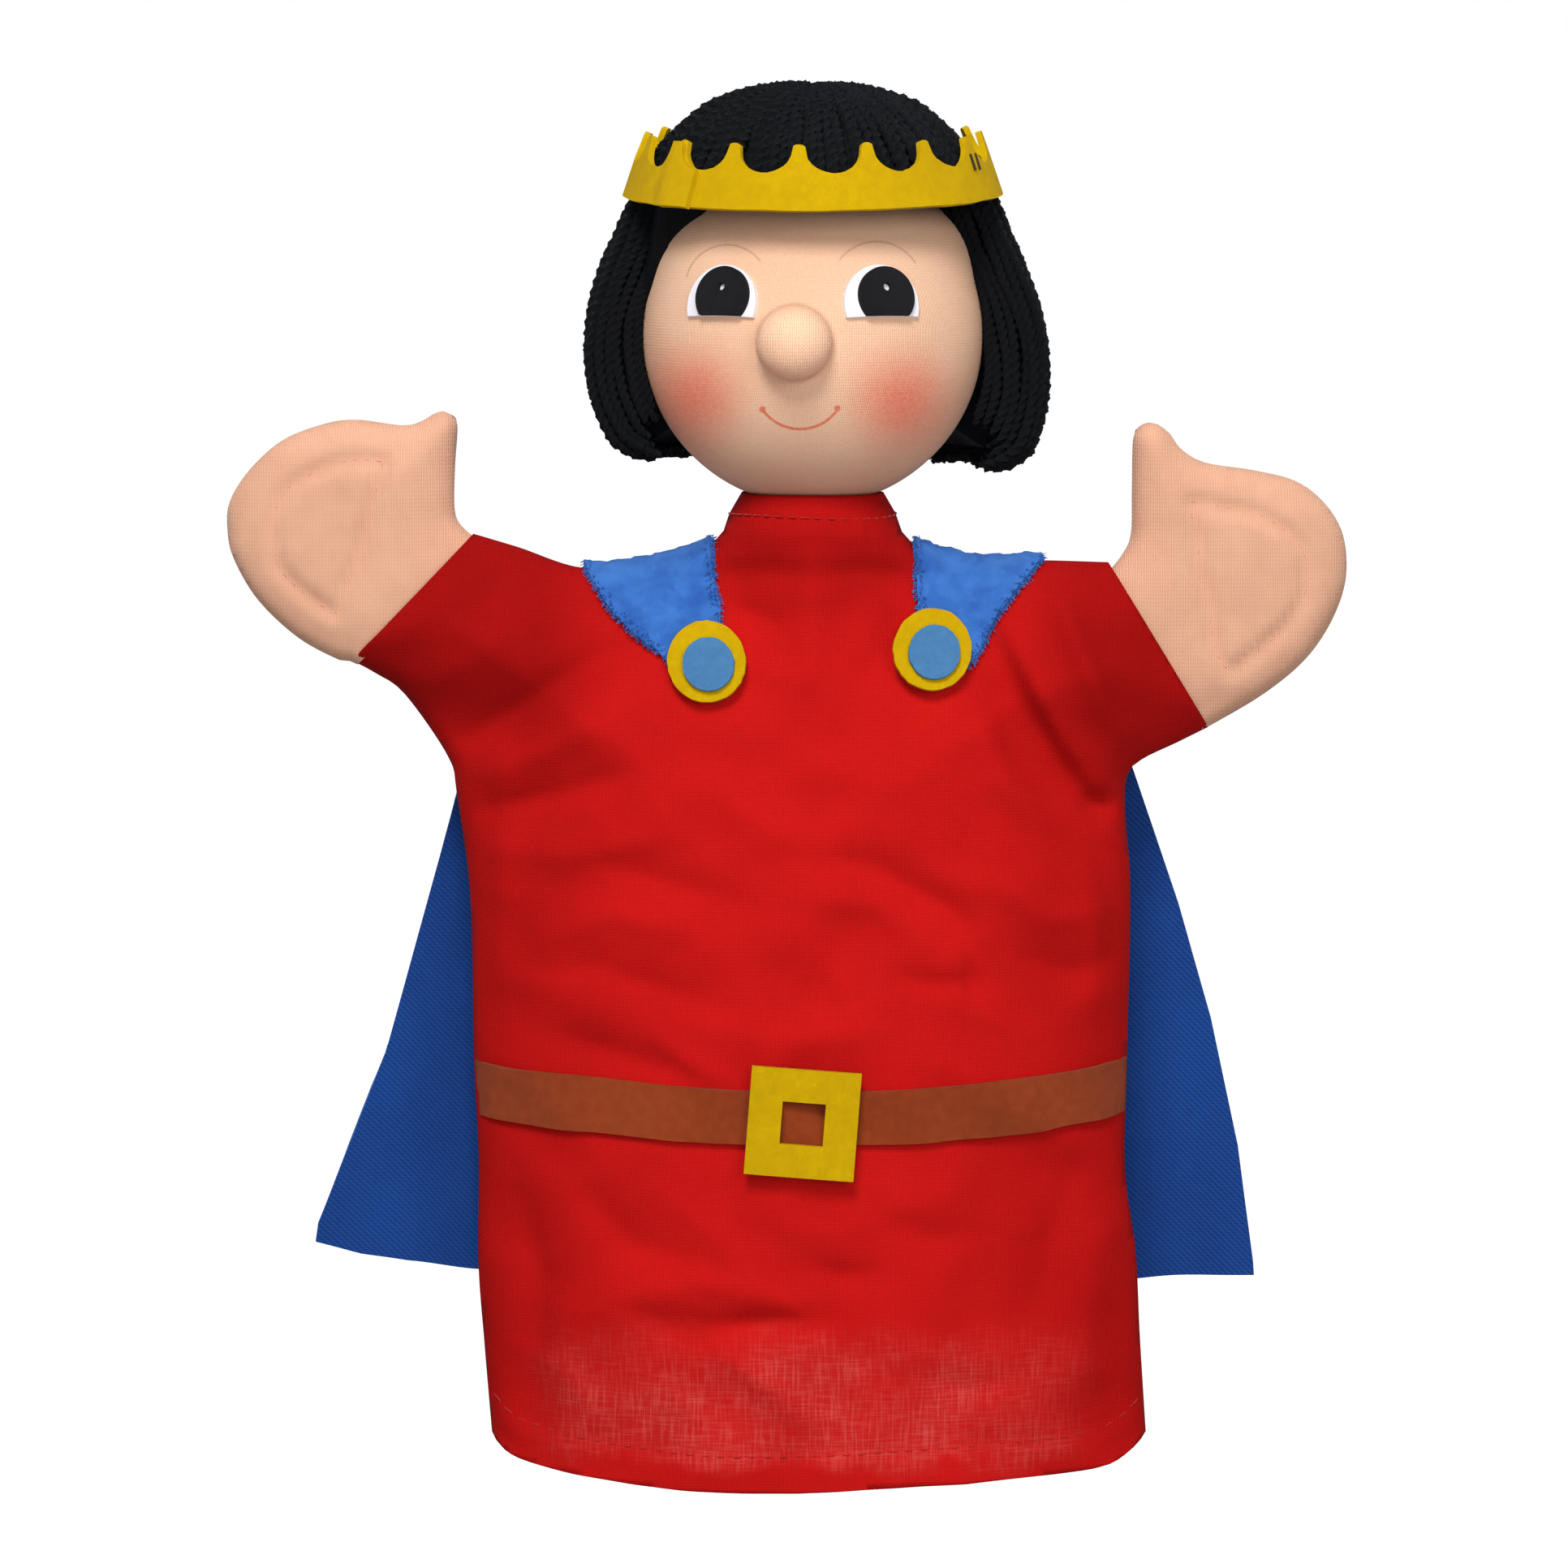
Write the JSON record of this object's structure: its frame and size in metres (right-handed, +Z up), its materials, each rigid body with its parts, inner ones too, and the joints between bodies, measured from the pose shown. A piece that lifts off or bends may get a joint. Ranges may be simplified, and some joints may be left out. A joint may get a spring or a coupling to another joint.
{
  "type": "glove puppet",
  "caption": "Crowned prince glove puppet: round head on a finger tube, hollow cloth gown with mitten hands, belt and back cape; head, arms, hands and cape move.",
  "frame": {"origin": "centre of the hand opening, level with the bottom of the hem's middle", "axes": "+Z up through the head, -Y the way the puppet faces, +X towards the puppet's own left hand"},
  "size_m": [0.2361, 0.0942, 0.3002],
  "materials": {
    "gown_cotton": "matte",
    "belt_felt": "matte",
    "yellow_felt": "matte",
    "blue_felt": "matte",
    "blue_plush": "matte",
    "collar_cotton": "matte",
    "cord": "matte",
    "stocking": "matte",
    "foam": "matte",
    "bead_wood": "satin",
    "tube_card": "matte",
    "thread": "matte",
    "eye_white_felt": "matte",
    "pupil_felt": "matte",
    "hair_wool": "matte",
    "dark_thread": "matte",
    "hand_fleece": "matte",
    "wadding": "matte"
  },
  "bodies": {
    "gown": {"gown_front": "gown_cotton", "gown_back": "gown_cotton", "belt": "belt_felt", "buckle": "yellow_felt", "shoulder_tab_left": "blue_plush", "clasp_rim_left": "yellow_felt", "clasp_centre_left": "blue_felt", "shoulder_tab_right": "blue_plush", "clasp_rim_right": "yellow_felt", "clasp_centre_right": "blue_felt"},
    "neck": {"gown_neck": "gown_cotton"},
    "collar": {"collar": "collar_cotton", "collar_cord": "cord"},
    "head": {"head_ball": "foam", "nose_bead": "bead_wood", "head_cover": "stocking", "neck_tube": "tube_card", "neck_tie": "thread", "eye_white_left": "eye_white_felt", "eye_white_right": "eye_white_felt", "pupil_left": "pupil_felt", "pupil_right": "pupil_felt", "hair_top": "hair_wool", "hair_left": "hair_wool", "hair_right": "hair_wool", "hair_back": "hair_wool", "crown": "yellow_felt", "crown_stitch": "dark_thread"},
    "cape": {"cape": "blue_plush"},
    "sleeve_left": {"sleeve_front_left": "gown_cotton", "sleeve_back_left": "gown_cotton"},
    "hand_left": {"hand_front_left": "hand_fleece", "hand_back_left": "hand_fleece", "hand_wadding_left": "wadding"},
    "sleeve_right": {"sleeve_front_right": "gown_cotton", "sleeve_back_right": "gown_cotton"},
    "hand_right": {"hand_front_right": "hand_fleece", "hand_back_right": "hand_fleece", "hand_wadding_right": "wadding"}
  },
  "joints": [
    {"name": "head_tilt", "type": "hinge", "parent": "gown", "child": "neck", "pos_m": [0, 0, 0.199], "axis": [0, 1, 0], "range_deg": [-10, 10]},
    {"name": "head_nod", "type": "hinge", "parent": "neck", "child": "collar", "pos_m": [0, 0, 0.199], "axis": [1, 0, 0], "range_deg": [-20, 22]},
    {"name": "head_turn", "type": "hinge", "parent": "collar", "child": "head", "pos_m": [0, 0, 0.199], "axis": [0, 0, 1], "range_deg": [-40, 40]},
    {"name": "left_arm_raise", "type": "hinge", "parent": "gown", "child": "sleeve_left", "pos_m": [0.057, 0, 0.1775], "axis": [0, -1, 0], "range_deg": [-20, 10]},
    {"name": "right_arm_raise", "type": "hinge", "parent": "gown", "child": "sleeve_right", "pos_m": [-0.0617, 0, 0.1754], "axis": [0, 1, 0], "range_deg": [-60, 15]},
    {"name": "left_hand_fold", "type": "hinge", "parent": "sleeve_left", "child": "hand_left", "pos_m": [0.0728, 0, 0.1807], "axis": [0.5373, 0, -0.8434], "range_deg": [-20, 45]},
    {"name": "right_hand_fold", "type": "hinge", "parent": "sleeve_right", "child": "hand_right", "pos_m": [-0.084, 0, 0.191], "axis": [0.7071, 0, 0.7071], "range_deg": [-20, 45]},
    {"name": "cape_lift", "type": "hinge", "parent": "gown", "child": "cape", "pos_m": [0, 0.02485, 0.197], "axis": [1, 0, 0], "range_deg": [0, 70]}
  ]
}
